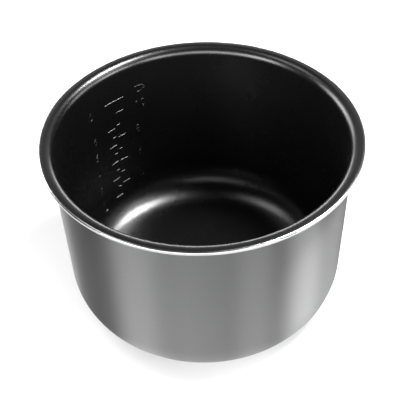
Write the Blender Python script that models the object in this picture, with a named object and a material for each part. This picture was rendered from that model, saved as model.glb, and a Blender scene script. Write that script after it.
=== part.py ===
"""Removable inner pot of an electric pressure cooker: a drawn aluminium pot with a rolled-out
flange, a non-stick lining inside it and over the flange, and a satin coating outside.

Metres, +Z up. The origin is the centre of the contact face that the pot stands on, and every
piece is turned about Z. Each surface is the outer or the inner skin's turned line at its own
depth, so the coatings follow the aluminium whatever the sizes are.
"""

import math

import bmesh
import bpy

# Overall sizes
RIM_DIAMETER = 0.240  # across the bare edge of the flange
POT_HEIGHT = 0.150  # contact face to flange top

# Wall section
WALL = 0.0030  # both coatings and the aluminium together, at the side, floor and flange
COAT = 0.0003  # each coating
GAP = 0.0003  # clearance between pieces that touch on the real pot

# Flange
FLANGE_FLAT = 0.0040  # flat ring outside the lip bend, bare edge included
LIP_RADIUS = 0.0070  # lip bend, measured on the lining
EDGE_ROUND = 0.0014  # rounding of the bare edge on top
EDGE_BREAK = 0.0010  # rounding of the bare edge underneath

# Side wall and rounded bottom, measured on the outer skin
DRAFT = math.radians(1.68)  # side wall's lean from the vertical
SHOULDER_RADIUS = 0.0416  # upper, wide arc of the bottom rounding
KNUCKLE_RADIUS = 0.0173  # lower, tight arc that runs into the base
KNUCKLE_ANGLE = math.radians(50.5)  # how far the tight arc turns up from the base

# Rounding between the floor and the side wall, measured on the lining
FILLET_RADIUS = 0.0280  # wider than the outside's, so the wall is thickest at the corner

# Base
CONTACT_PROUD = 0.0002  # bare contact face below the coated skin
CONTACT_INSET = 0.0025  # contact face's edge inside the start of the knuckle

# Facets
TURN_STEPS = 60  # round the axis
KNUCKLE_STEPS = 4
SHOULDER_STEPS = 3
FILLET_STEPS = 7
LIP_STEPS = 5
EDGE_STEPS = 3
MERGE_DISTANCE = 1e-6
SHARP_ANGLE = math.radians(35)

# Sizes that follow from the ones above
RIM_RADIUS = RIM_DIAMETER / 2
SKIN_DEPTH = COAT + GAP  # aluminium's surface below each coated surface
COAT_END_RADIUS = RIM_RADIUS - EDGE_ROUND - GAP
LIP_CENTRE = (RIM_RADIUS - FLANGE_FLAT, POT_HEIGHT - LIP_RADIUS)
LIP_UNDER_RADIUS = LIP_RADIUS - WALL
WALL_ANGLE = math.pi / 2 - DRAFT  # where an arc meets the side wall
LIP_START = -math.pi / 2 - DRAFT  # where the side wall meets the lip bend


def shoulder_centre():
    """Centre of the wide arc, which is tangent to the tight arc, the side wall and the lip."""
    lift = CONTACT_PROUD + KNUCKLE_RADIUS
    z = lift + (SHOULDER_RADIUS - KNUCKLE_RADIUS) * math.cos(KNUCKLE_ANGLE)
    span = SHOULDER_RADIUS + LIP_UNDER_RADIUS + (LIP_CENTRE[1] - z) * math.sin(DRAFT)
    return LIP_CENTRE[0] - span / math.cos(DRAFT), z


def fillet_centre():
    """Centre of the inside rounding, which is tangent to the floor, the side wall and the lip."""
    z = CONTACT_PROUD + WALL + FILLET_RADIUS
    span = FILLET_RADIUS + LIP_RADIUS + (LIP_CENTRE[1] - z) * math.sin(DRAFT)
    return LIP_CENTRE[0] - span / math.cos(DRAFT), z


FILLET_CENTRE = fillet_centre()
SHOULDER_CENTRE = shoulder_centre()
BASE_RADIUS = SHOULDER_CENTRE[0] + (SHOULDER_RADIUS - KNUCKLE_RADIUS) * math.sin(KNUCKLE_ANGLE)
KNUCKLE_CENTRE = (BASE_RADIUS, CONTACT_PROUD + KNUCKLE_RADIUS)
CONTACT_RADIUS = BASE_RADIUS - CONTACT_INSET


def arc(centre, radius, start, end, steps):
    """Points (r, z) on an arc, with its angles measured from straight down towards the rim."""
    points = []
    for i in range(steps + 1):
        angle = start + (end - start) * i / steps
        r = centre[0] + radius * math.sin(angle)
        z = centre[1] - radius * math.cos(angle)
        points.append((r, z))
    return points


def outer_line(depth):
    """The turned line at this depth below the outer skin, from the base's edge to the flange."""
    knuckle = arc(KNUCKLE_CENTRE, KNUCKLE_RADIUS - depth, 0, KNUCKLE_ANGLE, KNUCKLE_STEPS)
    shoulder = arc(SHOULDER_CENTRE, SHOULDER_RADIUS - depth, KNUCKLE_ANGLE, WALL_ANGLE, SHOULDER_STEPS)
    lip = arc(LIP_CENTRE, LIP_UNDER_RADIUS + depth, LIP_START, -math.pi, LIP_STEPS)
    return knuckle + shoulder[1:] + lip


def inner_line(depth):
    """The turned line at this depth below the inner skin, from the floor's edge to the flange."""
    fillet = arc(FILLET_CENTRE, FILLET_RADIUS + depth, 0, WALL_ANGLE, FILLET_STEPS)
    lip = arc(LIP_CENTRE, LIP_RADIUS - depth, LIP_START, -math.pi, LIP_STEPS)
    return fillet + lip


def body_section():
    """From the contact face's edge, up the outside, round the bare edge and down to the floor."""
    collar = RIM_RADIUS - EDGE_ROUND
    under = POT_HEIGHT - WALL
    step_up = [(CONTACT_RADIUS, 0), (CONTACT_RADIUS, CONTACT_PROUD + SKIN_DEPTH)]
    outside = outer_line(SKIN_DEPTH)
    inside = inner_line(SKIN_DEPTH)
    break_centre = (RIM_RADIUS - EDGE_BREAK, under + EDGE_BREAK)
    round_centre = (RIM_RADIUS - EDGE_ROUND, POT_HEIGHT - EDGE_ROUND)
    edge = [(collar, under + SKIN_DEPTH), (collar, under)]
    edge += arc(break_centre, EDGE_BREAK, 0, math.pi / 2, EDGE_STEPS)
    edge += arc(round_centre, EDGE_ROUND, math.pi / 2, math.pi, EDGE_STEPS)
    edge += [(collar, POT_HEIGHT - SKIN_DEPTH)]
    return step_up + outside + edge + inside[::-1]


def lining_section():
    """From the lining's hidden side at the floor, over the flange, to its inside at the floor."""
    end = [(COAT_END_RADIUS, POT_HEIGHT - COAT), (COAT_END_RADIUS, POT_HEIGHT)]
    return inner_line(COAT) + end + inner_line(0)[::-1]


def coating_section():
    """Closed section of the outer coating, from the contact face's edge to under the flange."""
    under = POT_HEIGHT - WALL
    inner_end = CONTACT_RADIUS + GAP
    rim_end = [(COAT_END_RADIUS, under), (COAT_END_RADIUS, under + COAT)]
    outside = [(inner_end, CONTACT_PROUD)] + outer_line(0)
    inside = [(inner_end, CONTACT_PROUD + COAT)] + outer_line(COAT)
    return outside + rim_end + inside[::-1]


def material(name, colour, metallic, roughness):
    """A Principled material of one colour."""
    made = bpy.data.materials.new(name)
    made.use_nodes = True
    shader = made.node_tree.nodes["Principled BSDF"]
    shader.inputs["Base Color"].default_value = (*colour, 1)
    shader.inputs["Metallic"].default_value = metallic
    shader.inputs["Roughness"].default_value = roughness
    return made


def turned_piece(name, section, closed, surface):
    """One object: the section spun about Z. An open section's two end rings are capped flat."""
    bm = bmesh.new()
    verts = [bm.verts.new((r, 0, z)) for r, z in section]
    pairs = list(zip(verts, verts[1:]))
    if closed:
        pairs.append((verts[-1], verts[0]))
    edges = [bm.edges.new(pair) for pair in pairs]
    bmesh.ops.spin(
        bm,
        geom=verts + edges,
        cent=(0, 0, 0),
        axis=(0, 0, 1),
        angle=2 * math.pi,
        steps=TURN_STEPS,
    )
    bmesh.ops.remove_doubles(bm, verts=bm.verts, dist=MERGE_DISTANCE)
    open_edges = [edge for edge in bm.edges if edge.is_boundary]
    bmesh.ops.holes_fill(bm, edges=open_edges, sides=0)
    bmesh.ops.recalc_face_normals(bm, faces=bm.faces)
    mesh = bpy.data.meshes.new(name)
    bm.to_mesh(mesh)
    bm.free()
    mesh.shade_smooth()
    mesh.set_sharp_from_angle(angle=SHARP_ANGLE)
    mesh.materials.append(surface)
    piece = bpy.data.objects.new(name, mesh)
    bpy.context.scene.collection.objects.link(piece)
    return piece


for old in list(bpy.data.objects):
    bpy.data.objects.remove(old)

aluminium = material("aluminium", (0.80, 0.80, 0.81), 1.0, 0.25)
nonstick = material("nonstick", (0.02, 0.02, 0.02), 0.0, 0.35)
satin_grey = material("satin_grey", (0.36, 0.36, 0.37), 0.9, 0.40)

turned_piece("pot_body", body_section(), False, aluminium)
turned_piece("nonstick_lining", lining_section(), False, nonstick)
turned_piece("outer_coating", coating_section(), True, satin_grey)
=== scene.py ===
"""Looks for the inner pot of an electric pressure cooker: turned shells, level marks and materials."""

import math

import bmesh
import bpy
from mathutils import Matrix, Vector


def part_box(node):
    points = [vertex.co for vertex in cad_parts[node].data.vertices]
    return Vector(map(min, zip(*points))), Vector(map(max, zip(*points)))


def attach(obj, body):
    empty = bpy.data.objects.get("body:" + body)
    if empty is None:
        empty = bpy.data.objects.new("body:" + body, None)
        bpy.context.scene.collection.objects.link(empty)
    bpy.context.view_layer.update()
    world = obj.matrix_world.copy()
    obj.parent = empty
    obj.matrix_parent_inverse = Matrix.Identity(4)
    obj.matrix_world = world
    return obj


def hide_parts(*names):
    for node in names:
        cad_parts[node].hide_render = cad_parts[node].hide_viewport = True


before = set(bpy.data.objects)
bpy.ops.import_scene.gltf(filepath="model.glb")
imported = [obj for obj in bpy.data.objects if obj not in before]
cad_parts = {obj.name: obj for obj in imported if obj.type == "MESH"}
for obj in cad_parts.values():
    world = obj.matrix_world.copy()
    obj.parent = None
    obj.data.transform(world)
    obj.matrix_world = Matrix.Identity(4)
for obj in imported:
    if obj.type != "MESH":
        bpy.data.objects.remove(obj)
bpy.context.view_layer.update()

MM = 0.001

# ---------------------------------------------------------------------------------------------
# Sizes: the overall ones come from the CAD's pot_body in model.glb, and the section repeats the CAD's
# own values
# ---------------------------------------------------------------------------------------------
_, POT_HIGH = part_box("pot_body")
RIM_RADIUS = POT_HIGH[0]
POT_HEIGHT = POT_HIGH[2]
WALL = 3.0 * MM
FLANGE_FLAT = 4.0 * MM
LIP_RADIUS = 7.0 * MM
EDGE_ROUND = 1.4 * MM
EDGE_BREAK = 1.0 * MM
DRAFT = math.radians(1.68)
SHOULDER_RADIUS = 41.6 * MM
KNUCKLE_RADIUS = 17.3 * MM
KNUCKLE_ANGLE = math.radians(50.5)
FILLET_RADIUS = 28.0 * MM
CONTACT_PROUD = 0.2 * MM
CONTACT_INSET = 2.5 * MM

# A real coating is thinner than its CAD solid, and lies on the metal
COAT = 0.12 * MM
COAT_GAP = 0.02 * MM
SKIN_DEPTH = COAT + COAT_GAP
COAT_END_RADIUS = RIM_RADIUS - EDGE_ROUND - COAT_GAP
LIP_CENTRE = (RIM_RADIUS - FLANGE_FLAT, POT_HEIGHT - LIP_RADIUS)
LIP_UNDER_RADIUS = LIP_RADIUS - WALL
WALL_ANGLE = math.pi / 2 - DRAFT
LIP_START = -math.pi / 2 - DRAFT

# Facets of the finished shells
TURN_STEPS = 288
KNUCKLE_STEPS = 16
SHOULDER_STEPS = 16
WALL_STEPS = 10
FILLET_STEPS = 28
LIP_STEPS = 16
EDGE_STEPS = 8
SHARP_ANGLE = math.radians(35)
CAP_INSET = 4 * MM


def shoulder_centre():
    """Centre of the wide arc, which is tangent to the tight arc, the side wall and the lip."""
    lift = CONTACT_PROUD + KNUCKLE_RADIUS
    z = lift + (SHOULDER_RADIUS - KNUCKLE_RADIUS) * math.cos(KNUCKLE_ANGLE)
    span = SHOULDER_RADIUS + LIP_UNDER_RADIUS + (LIP_CENTRE[1] - z) * math.sin(DRAFT)
    return LIP_CENTRE[0] - span / math.cos(DRAFT), z


def fillet_centre():
    """Centre of the inside rounding, which is tangent to the floor, the side wall and the lip."""
    z = CONTACT_PROUD + WALL + FILLET_RADIUS
    span = FILLET_RADIUS + LIP_RADIUS + (LIP_CENTRE[1] - z) * math.sin(DRAFT)
    return LIP_CENTRE[0] - span / math.cos(DRAFT), z


FILLET_CENTRE = fillet_centre()
SHOULDER_CENTRE = shoulder_centre()
BASE_RADIUS = SHOULDER_CENTRE[0] + (SHOULDER_RADIUS - KNUCKLE_RADIUS) * math.sin(KNUCKLE_ANGLE)
KNUCKLE_CENTRE = (BASE_RADIUS, CONTACT_PROUD + KNUCKLE_RADIUS)
CONTACT_RADIUS = BASE_RADIUS - CONTACT_INSET


# ---------------------------------------------------------------------------------------------
# Turned sections
# ---------------------------------------------------------------------------------------------
def arc(centre, radius, start, end, steps):
    """Points (r, z) on an arc, with its angles measured from straight down towards the rim."""
    points = []
    for i in range(steps + 1):
        angle = start + (end - start) * i / steps
        points.append((centre[0] + radius * math.sin(angle), centre[1] - radius * math.cos(angle)))
    return points


def straight(start, end, steps):
    """The points between two ends, without them."""
    found = []
    for i in range(1, steps):
        share = i / steps
        found.append(tuple(a + (b - a) * share for a, b in zip(start, end)))
    return found


def outer_line(depth):
    """The turned line at this depth below the outer skin, from the base's edge to the flange."""
    knuckle = arc(KNUCKLE_CENTRE, KNUCKLE_RADIUS - depth, 0, KNUCKLE_ANGLE, KNUCKLE_STEPS)
    shoulder = arc(SHOULDER_CENTRE, SHOULDER_RADIUS - depth, KNUCKLE_ANGLE, WALL_ANGLE, SHOULDER_STEPS)
    lip = arc(LIP_CENTRE, LIP_UNDER_RADIUS + depth, LIP_START, -math.pi, LIP_STEPS)
    return knuckle + shoulder[1:] + straight(shoulder[-1], lip[0], WALL_STEPS) + lip


def inner_line(depth):
    """The turned line at this depth below the inner skin, from the floor's edge to the flange."""
    fillet = arc(FILLET_CENTRE, FILLET_RADIUS + depth, 0, WALL_ANGLE, FILLET_STEPS)
    lip = arc(LIP_CENTRE, LIP_RADIUS - depth, LIP_START, -math.pi, LIP_STEPS)
    return fillet + straight(fillet[-1], lip[0], WALL_STEPS) + lip


def body_section():
    collar = RIM_RADIUS - EDGE_ROUND
    under = POT_HEIGHT - WALL
    break_centre = (RIM_RADIUS - EDGE_BREAK, under + EDGE_BREAK)
    round_centre = (RIM_RADIUS - EDGE_ROUND, POT_HEIGHT - EDGE_ROUND)
    chamfer = 0.12 * MM
    step_up = [(CONTACT_RADIUS - chamfer, 0), (CONTACT_RADIUS, chamfer)]
    step_up += [(CONTACT_RADIUS, CONTACT_PROUD + SKIN_DEPTH)]
    edge = [(collar, under + SKIN_DEPTH), (collar, under)]
    edge += arc(break_centre, EDGE_BREAK, 0, math.pi / 2, EDGE_STEPS)
    edge += arc(round_centre, EDGE_ROUND, math.pi / 2, math.pi, EDGE_STEPS)
    edge += [(collar, POT_HEIGHT - SKIN_DEPTH)]
    return step_up + outer_line(SKIN_DEPTH) + edge + inner_line(SKIN_DEPTH)[::-1]


def lining_section():
    end_round = COAT * 0.8
    end_centre = (COAT_END_RADIUS - end_round, POT_HEIGHT - end_round)
    end = [(COAT_END_RADIUS, POT_HEIGHT - COAT)] + arc(end_centre, end_round, math.pi / 2, math.pi, 3)
    return inner_line(COAT) + end + inner_line(0)[::-1]


def coating_section():
    under = POT_HEIGHT - WALL
    inner_end = CONTACT_RADIUS + 2 * COAT_GAP
    rim_end = [(COAT_END_RADIUS, under), (COAT_END_RADIUS, under + COAT)]
    outside = [(inner_end, CONTACT_PROUD)] + outer_line(0)
    inside = [(inner_end, CONTACT_PROUD + COAT)] + outer_line(COAT)
    return outside + rim_end + inside[::-1]


def turned(name, section, closed):
    """The section turned about Z. An open section's end rings are capped flat."""
    bm = bmesh.new()
    rings = []
    for i in range(TURN_STEPS):
        angle = 2 * math.pi * i / TURN_STEPS
        rings.append([bm.verts.new((r * math.cos(angle), r * math.sin(angle), z)) for r, z in section])
    count = len(section)
    for i, ring in enumerate(rings):
        after = rings[(i + 1) % TURN_STEPS]
        for k in range(count if closed else count - 1):
            j = (k + 1) % count
            bm.faces.new((ring[k], after[k], after[j], ring[j]))
    if not closed:
        for end in (0, -1):
            cap = bm.faces.new([ring[end] for ring in rings])
            bmesh.ops.inset_individual(bm, faces=[cap], thickness=CAP_INSET)
    bmesh.ops.recalc_face_normals(bm, faces=bm.faces)
    return finished(name, bm)


def finished(name, bm):
    mesh = bpy.data.meshes.new(name)
    bm.to_mesh(mesh)
    bm.free()
    mesh.shade_smooth()
    mesh.set_sharp_from_angle(angle=SHARP_ANGLE)
    piece = bpy.data.objects.new(name, mesh)
    bpy.context.scene.collection.objects.link(piece)
    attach(piece, "root")
    return piece


# ---------------------------------------------------------------------------------------------
# Level marks: raised strokes on the lining's inner wall
# ---------------------------------------------------------------------------------------------
STROKE_WIDTH = 1.0 * MM
STROKE_PROUD = 0.35 * MM
STROKE_SUNK = 0.15 * MM
DIGIT_HEIGHT = 6.4 * MM
DIGIT_WIDTH = 3.6 * MM
DIGIT_STROKE = 0.95 * MM
WALL_REFERENCE = 110 * MM
MARKS_TOP = 30.4 * MM
MARKS_SLANT = math.radians(1.2) / (90 * MM)


def inner_skin(depth):
    """The lining's inner radius this far below the rim, and how far its face leans from upright."""
    z = POT_HEIGHT - depth
    lean = math.asin(max(FILLET_CENTRE[1] - z, 0) / FILLET_RADIUS)
    if lean > DRAFT:
        return FILLET_CENTRE[0] + FILLET_RADIUS * math.cos(lean), lean
    top_r = LIP_CENTRE[0] - LIP_RADIUS * math.cos(DRAFT)
    top_z = LIP_CENTRE[1] + LIP_RADIUS * math.sin(DRAFT)
    return top_r - (top_z - z) * math.tan(DRAFT), DRAFT


def on_wall(across, depth, out):
    """A point on the lining: across is the arc length anticlockwise from +X, out is off its face."""
    angle = across / WALL_REFERENCE + (depth - MARKS_TOP) * MARKS_SLANT
    radius, lean = inner_skin(depth)
    r = radius - out * math.cos(lean)
    z = POT_HEIGHT - depth + out * math.sin(lean)
    return Vector((r * math.cos(angle), r * math.sin(angle), z))


def at(azimuth):
    """The arc length at an azimuth in degrees."""
    return math.radians(azimuth) * WALL_REFERENCE


def stroke(bm, path, width, proud):
    """A raised bead with round ends along path, a list of (across, depth) on the wall."""
    half = width / 2
    steps = 6
    dense = [Vector(path[0])]
    for a, b in zip(path, path[1:]):
        a, b = Vector(a), Vector(b)
        count = max(1, int((b - a).length / (0.8 * MM)))
        for i in range(1, count + 1):
            dense.append(a + (b - a) * i / count)
    # round ends: shorter and shorter half widths past each end
    stations = []
    first = (dense[0] - dense[1]).normalized()
    last = (dense[-1] - dense[-2]).normalized()
    for i in range(4, 0, -1):
        t = math.radians(86) * i / 4
        stations.append((dense[0] + first * half * math.sin(t), math.cos(t)))
    stations += [(point, 1.0) for point in dense]
    for i in range(1, 5):
        t = math.radians(86) * i / 4
        stations.append((dense[-1] + last * half * math.sin(t), math.cos(t)))
    rings = []
    for i, (point, share) in enumerate(stations):
        before = stations[max(i - 1, 0)][0]
        after = stations[min(i + 1, len(stations) - 1)][0]
        along = (after - before).normalized()
        side = Vector((-along.y, along.x))
        ring = []
        for k in range(steps + 1):
            angle = math.pi * k / steps
            offset = side * (math.cos(angle) * half * share)
            height = math.sin(angle) * proud * share
            ring.append(bm.verts.new(on_wall(point.x + offset.x, point.y + offset.y, height)))
        for sign in (-1, 1):
            offset = side * (sign * half * share)
            ring.append(bm.verts.new(on_wall(point.x + offset.x, point.y + offset.y, -STROKE_SUNK)))
        rings.append(ring)
    for one, two in zip(rings, rings[1:]):
        for k in range(len(one)):
            j = (k + 1) % len(one)
            bm.faces.new((one[k], one[j], two[j], two[k]))
    bm.faces.new(rings[0][::-1])
    bm.faces.new(rings[-1])


def ring_points(cx, cy, rx, ry, start, end, steps=14):
    """Points of an elliptical arc in glyph space, angles in degrees, x to the right, y up."""
    found = []
    for i in range(steps + 1):
        a = math.radians(start + (end - start) * i / steps)
        found.append((cx + rx * math.cos(a), cy + ry * math.sin(a)))
    return found


# Each glyph's strokes, in a box one wide and one high. The numerals and pictures are generic.
GLYPHS = {
    "0": [ring_points(0.5, 0.5, 0.5, 0.5, 90, 450, 24)],
    "1": [[(0.15, 0.78), (0.55, 1.0), (0.55, 0.0)]],
    "2": [ring_points(0.5, 0.72, 0.48, 0.28, 165, -35, 10) + [(0.02, 0.0), (1.0, 0.0)]],
    "3": [
        ring_points(0.46, 0.75, 0.46, 0.25, 150, -90, 10),
        ring_points(0.46, 0.25, 0.5, 0.25, 90, -150, 10),
    ],
    "4": [[(0.78, 0.0), (0.78, 1.0), (0.0, 0.28), (1.0, 0.28)]],
    "5": [[(0.92, 1.0), (0.16, 1.0), (0.1, 0.56)] + ring_points(0.48, 0.32, 0.48, 0.32, 130, -150, 12)],
    "6": [[(0.8, 1.0), (0.22, 0.62)] + ring_points(0.5, 0.31, 0.48, 0.31, 140, 500, 18)],
    "8": [
        ring_points(0.5, 0.75, 0.42, 0.25, -90, 270, 18),
        ring_points(0.5, 0.25, 0.5, 0.25, 90, 450, 18),
    ],
    "cup": [
        [(0.0, 1.0), (0.1, 0.25)] + ring_points(0.42, 0.25, 0.32, 0.25, 180, 360, 10) + [(0.84, 1.0)],
        [(0.0, 1.0), (0.84, 1.0)],
        ring_points(0.84, 0.6, 0.3, 0.24, 80, -80, 8),
    ],
    "drop": [
        [(0.5, 1.0), (0.16, 0.5)] + ring_points(0.5, 0.32, 0.38, 0.32, 150, 390, 14) + [(0.5, 1.0)],
    ],
}


def glyph(bm, name, azimuth, depth, width=DIGIT_WIDTH, height=DIGIT_HEIGHT):
    """A glyph centred at this place. Its right is towards smaller azimuths, as seen from inside."""
    left = at(azimuth) + width / 2
    for line in GLYPHS[name]:
        path = [(left - x * width, depth + (0.5 - y) * height) for x, y in line]
        stroke(bm, path, DIGIT_STROKE, STROKE_PROUD)


def number(bm, text, azimuth, depth):
    step = (DIGIT_WIDTH + 1.5 * MM) / WALL_REFERENCE
    first = azimuth + math.degrees(step) * (len(text) - 1) / 2
    for i, digit in enumerate(text):
        glyph(bm, digit, first - math.degrees(step) * i, depth)


def tick(bm, depth, left, right):
    inset = STROKE_WIDTH / 2
    stroke(bm, [(at(left) - inset, depth), (at(right) + inset, depth)], STROKE_WIDTH, STROKE_PROUD)


def level_marks():
    bm = bmesh.new()
    tick(bm, MARKS_TOP, 135.7, 125.5)
    cups = [(10, 42.6), (8, 67.6), (6, 92.7), (4, 117.7)]
    for count, depth in cups:
        tick(bm, depth * MM, 130.4, 126.0)
        number(bm, str(count), 119.5 if count < 10 else 117.5, depth * MM)
    for (_, above), (_, below) in zip(cups, cups[1:]):
        tick(bm, (above + below) / 2 * MM, 130.5, 128.4)
    parts = [(6, 57.2), (5, 74.6), (4, 92.0), (3, 110.4), (2, 128.3)]
    for count, depth in parts:
        tick(bm, depth * MM, 135.8, 131.2)
        number(bm, str(count), 143.8, depth * MM)
    for (_, above), (_, below) in zip(parts, parts[1:]):
        tick(bm, (above + below) / 2 * MM, 133.3, 131.2)
    glyph(bm, "drop", 144.5, 31 * MM, 5.0 * MM, 7.0 * MM)
    glyph(bm, "cup", 117.5, 28 * MM, 8.0 * MM, 5.6 * MM)
    bmesh.ops.recalc_face_normals(bm, faces=bm.faces)
    return finished("level_marks", bm)


# ---------------------------------------------------------------------------------------------
# Materials
# ---------------------------------------------------------------------------------------------
class Nodes:
    """Short calls for a material's node tree."""

    def __init__(self, name):
        self.material = bpy.data.materials.new(name)
        self.material.use_nodes = True
        self.tree = self.material.node_tree
        self.shader = self.tree.nodes["Principled BSDF"]

    def add(self, kind, **values):
        node = self.tree.nodes.new(kind)
        for key, value in values.items():
            setattr(node, key, value)
        return node

    def link(self, source, target):
        self.tree.links.new(source, target)

    def place(self):
        return self.add("ShaderNodeTexCoord").outputs["Object"]

    def noise(self, vector, scale, detail=3.0, rough=0.5):
        node = self.add("ShaderNodeTexNoise")
        node.inputs["Scale"].default_value = scale
        node.inputs["Detail"].default_value = detail
        node.inputs["Roughness"].default_value = rough
        self.link(vector, node.inputs["Vector"])
        return node.outputs["Fac"]

    def spread(self, value, low, high, from_low=0.0, from_high=1.0):
        node = self.add("ShaderNodeMapRange")
        limits = {"From Min": from_low, "From Max": from_high, "To Min": low, "To Max": high}
        for key, amount in limits.items():
            node.inputs[key].default_value = amount
        self.link(value, node.inputs["Value"])
        return node.outputs["Result"]

    def math(self, operation, one, two):
        node = self.add("ShaderNodeMath", operation=operation)
        for socket, value in zip(node.inputs, (one, two)):
            if isinstance(value, (int, float)):
                socket.default_value = value
            else:
                self.link(value, socket)
        return node.outputs["Value"]

    def ramp(self, value, stops):
        node = self.add("ShaderNodeValToRGB")
        elements = node.color_ramp.elements
        while len(elements) < len(stops):
            elements.new(0.5)
        for element, (position, colour) in zip(elements, stops):
            element.position = position
            element.color = (*colour, 1)
        self.link(value, node.inputs["Fac"])
        return node.outputs["Color"]

    def bump(self, height, distance, strength=1.0, normal=None):
        node = self.add("ShaderNodeBump")
        node.inputs["Strength"].default_value = strength
        node.inputs["Distance"].default_value = distance
        self.link(height, node.inputs["Height"])
        if normal is not None:
            self.link(normal, node.inputs["Normal"])
        return node.outputs["Normal"]

    def radius(self, vector):
        """Distance from the pot's axis."""
        split = self.add("ShaderNodeSeparateXYZ")
        self.link(vector, split.inputs["Vector"])
        flat = self.add("ShaderNodeCombineXYZ")
        self.link(split.outputs["X"], flat.inputs["X"])
        self.link(split.outputs["Y"], flat.inputs["Y"])
        length = self.add("ShaderNodeVectorMath", operation="LENGTH")
        self.link(flat.outputs["Vector"], length.inputs[0])
        return length.outputs["Value"], split.outputs["Z"]


NONSTICK_DARK = (0.0012, 0.0012, 0.00125)
NONSTICK_LIGHT = (0.0034, 0.0034, 0.0035)
NONSTICK_IOR = 1.6
SATIN_DARK = (0.122, 0.122, 0.123)
SATIN_LIGHT = (0.148, 0.148, 0.15)
# Painted light and shade: the satin colour is scaled by the first at the base and the second at the rim
SATIN_PAINTED_LIGHT_AT_BASE = 1.32
SATIN_PAINTED_SHADE_AT_RIM = 0.94
BARE_DARK = (0.34, 0.34, 0.345)
BARE_LIGHT = (0.40, 0.40, 0.405)


def nonstick_material():
    m = Nodes("nonstick_black")
    place = m.place()
    grain = m.noise(place, 1100, 1.0, 0.6)
    fine = m.noise(place, 2600, 1.0)
    cloud = m.noise(place, 30, 3.0)
    black = m.ramp(fine, [(0.3, NONSTICK_DARK), (0.75, NONSTICK_LIGHT)])
    m.link(black, m.shader.inputs["Base Color"])
    m.link(m.spread(cloud, 0.24, 0.30), m.shader.inputs["Roughness"])
    first = m.bump(grain, 0.05 * MM)
    m.link(m.bump(fine, 0.02 * MM, 1.0, first), m.shader.inputs["Normal"])
    m.shader.inputs["IOR"].default_value = NONSTICK_IOR
    return m.material


def satin_material():
    m = Nodes("satin_grey")
    place = m.place()
    flake = m.noise(place, 3200, 1.0)
    orange = m.noise(place, 420, 2.0)
    cloud = m.noise(place, 18, 3.0)
    # painted light and shade: the coat's colour is made lighter towards the base and darker towards the
    # rim, standing in for floor light reflected low on the wall and the flange's shade above
    _, height = m.radius(place)
    painted_light_scale = m.add("ShaderNodeVectorMath", operation="SCALE")
    m.link(m.ramp(flake, [(0.3, SATIN_DARK), (0.7, SATIN_LIGHT)]), painted_light_scale.inputs[0])
    m.link(m.spread(height, SATIN_PAINTED_LIGHT_AT_BASE, SATIN_PAINTED_SHADE_AT_RIM, 0.0, POT_HEIGHT), painted_light_scale.inputs["Scale"])
    m.link(painted_light_scale.outputs["Vector"], m.shader.inputs["Base Color"])
    m.shader.inputs["Metallic"].default_value = 1.0
    m.link(m.spread(cloud, 0.57, 0.63), m.shader.inputs["Roughness"])
    # the metal is brushed round and round, which stretches its highlights up the wall
    around = m.add("ShaderNodeTangent", direction_type="RADIAL", axis="Z")
    m.link(around.outputs["Tangent"], m.shader.inputs["Tangent"])
    m.shader.inputs["Anisotropic"].default_value = 1.0
    m.shader.inputs["Anisotropic Rotation"].default_value = 0.25
    first = m.bump(orange, 0.02 * MM)
    m.link(m.bump(flake, 0.006 * MM, 1.0, first), m.shader.inputs["Normal"])
    return m.material


def bare_material():
    m = Nodes("bare_aluminium")
    place = m.place()
    radius, height = m.radius(place)
    groove = m.add("ShaderNodeTexNoise", noise_dimensions="1D")
    groove.inputs["Scale"].default_value = 4200
    groove.inputs["Detail"].default_value = 2.0
    m.link(m.math("ADD", radius, height), groove.inputs["W"])
    cloud = m.noise(place, 40, 3.0)
    bright = m.ramp(cloud, [(0.3, BARE_DARK), (0.7, BARE_LIGHT)])
    m.link(bright, m.shader.inputs["Base Color"])
    m.shader.inputs["Metallic"].default_value = 1.0
    m.link(m.spread(cloud, 0.20, 0.28), m.shader.inputs["Roughness"])
    m.link(m.bump(groove.outputs["Fac"], 0.012 * MM), m.shader.inputs["Normal"])
    return m.material


# ---------------------------------------------------------------------------------------------
# Stage, lights and camera
# ---------------------------------------------------------------------------------------------
LIGHT_TARGET = Vector((0, 0, 0.08))
LIGHT_DISTANCE = 1.3
# name, azimuth and elevation in degrees, side in metres, power in watts
SOFTBOXES = [
    ("key", 72, 61, 0.38, 29.0),
    ("right_high", 100, 44, 0.45, 3.0),
    ("right_low", 82, 12, 0.45, 4.0),
    ("right_front", 112, 12, 0.55, 10.0),
    ("front_right", 149, 20, 0.55, 8.5),
    ("front_middle", 180, 22, 0.60, 7.0),
    ("front", 205, 22, 0.60, 7.0),
    ("front_left", 230, 22, 0.55, 12.0),
    ("left_back", 300, 22, 0.55, 7.5),
    ("back_left", 318, 22, 0.55, 5.0),
    ("left_above", 291, 62, 0.40, 2.2),
]
# name, lowest and highest edge and width in metres, power in watts
CARDS = [
    ("backdrop", 0.55, 1.65, 2.8, 4.5),
    ("horizon", 0.02, 0.5, 1.4, 16.0),
]
CARD_BEHIND = 1.7
WORLD_STRENGTH = 0.02
FLOOR_HALF = 4.0
FLOOR_WHITE = 0.74
FLOOR_ROUGHNESS = 0.9
CAMERA_LENS = 87.07
CAMERA_SENSOR = 36
CAMERA_BACK = 0.5484
CAMERA_ABOVE_RIM = 0.4554
CAMERA_PITCH = math.radians(43.59)
CAMERA_YAW = math.radians(-0.28)
CAMERA_ROLL = math.radians(2.24)


def stage_floor():
    bm = bmesh.new()
    bmesh.ops.create_grid(bm, x_segments=8, y_segments=8, size=FLOOR_HALF)
    mesh = bpy.data.meshes.new("studio_floor")
    bm.to_mesh(mesh)
    bm.free()
    floor = bpy.data.objects.new("studio_floor", mesh)
    bpy.context.scene.collection.objects.link(floor)
    m = Nodes("floor_white")
    m.shader.inputs["Base Color"].default_value = (FLOOR_WHITE, FLOOR_WHITE, FLOOR_WHITE, 1)
    m.shader.inputs["Roughness"].default_value = FLOOR_ROUGHNESS
    m.shader.inputs["Specular IOR Level"].default_value = 0.0
    mesh.materials.append(m.material)
    return floor


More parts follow.
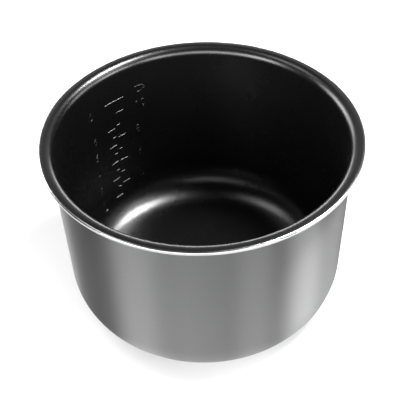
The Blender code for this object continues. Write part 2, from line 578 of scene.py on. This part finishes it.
def softbox(name, azimuth, elevation, side, power):
    """A softbox facing the pot. Azimuth 0 is behind it, 90 right and 180 the camera's side."""
    a, e = math.radians(azimuth), math.radians(elevation)
    direction = Vector((math.sin(a) * math.cos(e), math.cos(a) * math.cos(e), math.sin(e)))
    data = bpy.data.lights.new(name, "AREA")
    data.shape = "SQUARE"
    data.size = side
    data.energy = power
    light = bpy.data.objects.new(name, data)
    light.location = LIGHT_TARGET + direction * LIGHT_DISTANCE
    light.rotation_euler = direction.to_track_quat("Z", "Y").to_euler()
    bpy.context.scene.collection.objects.link(light)


def card(name, low, high, width, power):
    """A lit card that stands behind the pot between two heights."""
    data = bpy.data.lights.new(name, "AREA")
    data.shape = "RECTANGLE"
    data.size = width
    data.size_y = high - low
    data.energy = power
    light = bpy.data.objects.new(name, data)
    light.location = (0, CARD_BEHIND, (low + high) / 2)
    light.rotation_euler = (-math.pi / 2, 0, 0)
    bpy.context.scene.collection.objects.link(light)


def studio():
    world = bpy.data.worlds.new("studio")
    world.use_nodes = True
    background = world.node_tree.nodes["Background"]
    background.inputs["Color"].default_value = (1, 1, 1, 1)
    background.inputs["Strength"].default_value = WORLD_STRENGTH
    bpy.context.scene.world = world
    for settings in SOFTBOXES:
        softbox(*settings)
    for settings in CARDS:
        card(*settings)


def camera():
    data = bpy.data.cameras.new("camera")
    data.sensor_width = CAMERA_SENSOR
    data.lens = CAMERA_LENS
    cam = bpy.data.objects.new("camera", data)
    pitch, yaw, roll = CAMERA_PITCH, CAMERA_YAW, CAMERA_ROLL
    ahead = math.cos(pitch)
    forward = Vector((math.sin(yaw) * ahead, math.cos(yaw) * ahead, -math.sin(pitch)))
    level = Vector((math.cos(yaw), -math.sin(yaw), 0))
    upward = level.cross(forward)
    right = level * math.cos(roll) - upward * math.sin(roll)
    up = level * math.sin(roll) + upward * math.cos(roll)
    turn = Matrix((right, up, -forward)).transposed()
    place = Matrix.Translation((0, -CAMERA_BACK, POT_HEIGHT + CAMERA_ABOVE_RIM))
    cam.matrix_world = place @ turn.to_4x4()
    bpy.context.scene.collection.objects.link(cam)
    bpy.context.scene.camera = cam


# ---------------------------------------------------------------------------------------------
# Making the pieces
# ---------------------------------------------------------------------------------------------
body = turned("pot_body_turned", body_section(), False)
body.data.materials.append(bare_material())
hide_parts("pot_body")

nonstick = nonstick_material()
lining = turned("lining_finished", lining_section(), False)
lining.data.materials.append(nonstick)
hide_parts("nonstick_lining")

coating = turned("coating_finished", coating_section(), True)
coating.data.materials.append(satin_material())
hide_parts("outer_coating")

marks = level_marks()
marks.data.materials.append(nonstick)

stage_floor()
studio()
camera()
bpy.context.scene.view_settings.view_transform = "Standard"
